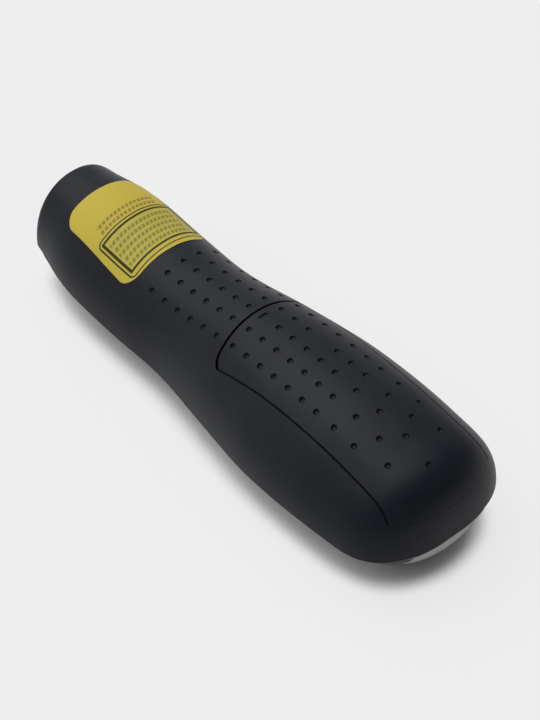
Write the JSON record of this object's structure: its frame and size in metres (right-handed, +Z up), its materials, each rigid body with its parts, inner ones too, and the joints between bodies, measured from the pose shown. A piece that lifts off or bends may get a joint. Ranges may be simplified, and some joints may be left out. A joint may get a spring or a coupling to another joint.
{
  "type": "presentation clicker",
  "caption": "Handheld presentation clicker with a dimpled arched back, sliding battery cover, write-on sticker, laser, keys, power slide and a USB receiver stowed in its end.",
  "frame": {"origin": "centre of the footprint, on the flat face of the face plate that the clicker lies on", "axes": "+Z up through the arched back, +X along the casing to the butt with the USB receiver, -X is the nose with the laser"},
  "size_m": [0.1165, 0.0384, 0.0276],
  "materials": {
    "soft_touch": "soft-touch coated, very fine grain",
    "lower_casing": "fine grain",
    "sticker": "matt write-on film with a printed frame",
    "face_plate": "glossy",
    "keys": "satin",
    "laser_window": "dark red, clear",
    "knob": "satin",
    "light_pipe": "frosted",
    "led": "clear resin",
    "board": "solder mask",
    "chip": "moulded",
    "capacitor": "ceramic",
    "coil": "ferrite",
    "crystal_can": "plated",
    "screw": "plated",
    "barrel": "turned",
    "lens": "clear",
    "diode": "plated",
    "inner_plastic": "fine grain",
    "switch": "moulded",
    "cell": "coated can",
    "contact": "nickel plated",
    "receiver_case": "fine grain",
    "plug": "nickel plated",
    "plug_tongue": "moulded",
    "gold": "gold plated"
  },
  "bodies": {
    "casing": {"back_shell": "soft_touch", "thumb_shell": "lower_casing", "sticker": "sticker", "face_plate": "face_plate", "laser_window": "laser_window", "power_switch": "switch", "key_switches": "switch", "light_pipe": "light_pipe", "status_led": "led", "circuit_board": "board", "capacitors": "capacitor", "power_coil": "coil", "board_screws": "screw", "laser_barrel": "barrel", "laser_lens": "lens", "laser_diode": "diode", "laser_board": "board", "casing_screw": "screw", "battery_tray": "inner_plastic", "battery_left": "cell", "battery_right": "cell", "plus_contact": "contact", "minus_contact": "contact", "bridge_contact": "contact", "receiver_dock": "inner_plastic", "controller_chip": "chip", "radio_chip": "chip", "memory_chip": "chip", "crystal": "crystal_can", "voltage_booster": "chip"},
    "cover": {"battery_cover": "soft_touch"},
    "receiver": {"receiver_case": "receiver_case", "receiver_plug": "plug", "receiver_tongue": "plug_tongue", "receiver_contacts": "gold", "receiver_board": "board", "receiver_chip": "chip"},
    "knob": {"power_knob": "knob", "power_slider": "switch"},
    "laser": {"laser_key": "keys", "laser_plunger": "switch"},
    "next": {"next_key": "keys", "next_plunger": "switch"},
    "previous": {"previous_key": "keys", "previous_plunger": "switch"},
    "play": {"play_key": "keys", "play_plunger": "switch"},
    "blank": {"blank_key": "keys", "blank_plunger": "switch"}
  },
  "joints": [
    {"name": "cover_slide", "type": "slide", "parent": "casing", "child": "cover", "axis": [1, 0, 0], "range_m": [0, 0.06]},
    {"name": "receiver_slide", "type": "slide", "parent": "casing", "child": "receiver", "axis": [1, 0, 0], "range_m": [0, 0.04]},
    {"name": "power_slide", "type": "slide", "parent": "casing", "child": "knob", "axis": [1, 0, 0], "range_m": [0, 0.0025]},
    {"name": "laser_press", "type": "slide", "parent": "casing", "child": "laser", "axis": [0, 0, 1], "range_m": [0, 0.0003], "stiffness_N_per_m": 800},
    {"name": "next_press", "type": "slide", "parent": "casing", "child": "next", "axis": [0, 0, 1], "range_m": [0, 0.0003], "stiffness_N_per_m": 800},
    {"name": "previous_press", "type": "slide", "parent": "casing", "child": "previous", "axis": [0, 0, 1], "range_m": [0, 0.0003], "stiffness_N_per_m": 800},
    {"name": "play_press", "type": "slide", "parent": "casing", "child": "play", "axis": [0, 0, 1], "range_m": [0, 0.0003], "stiffness_N_per_m": 800},
    {"name": "blank_press", "type": "slide", "parent": "casing", "child": "blank", "axis": [0, 0, 1], "range_m": [0, 0.0003], "stiffness_N_per_m": 800}
  ]
}
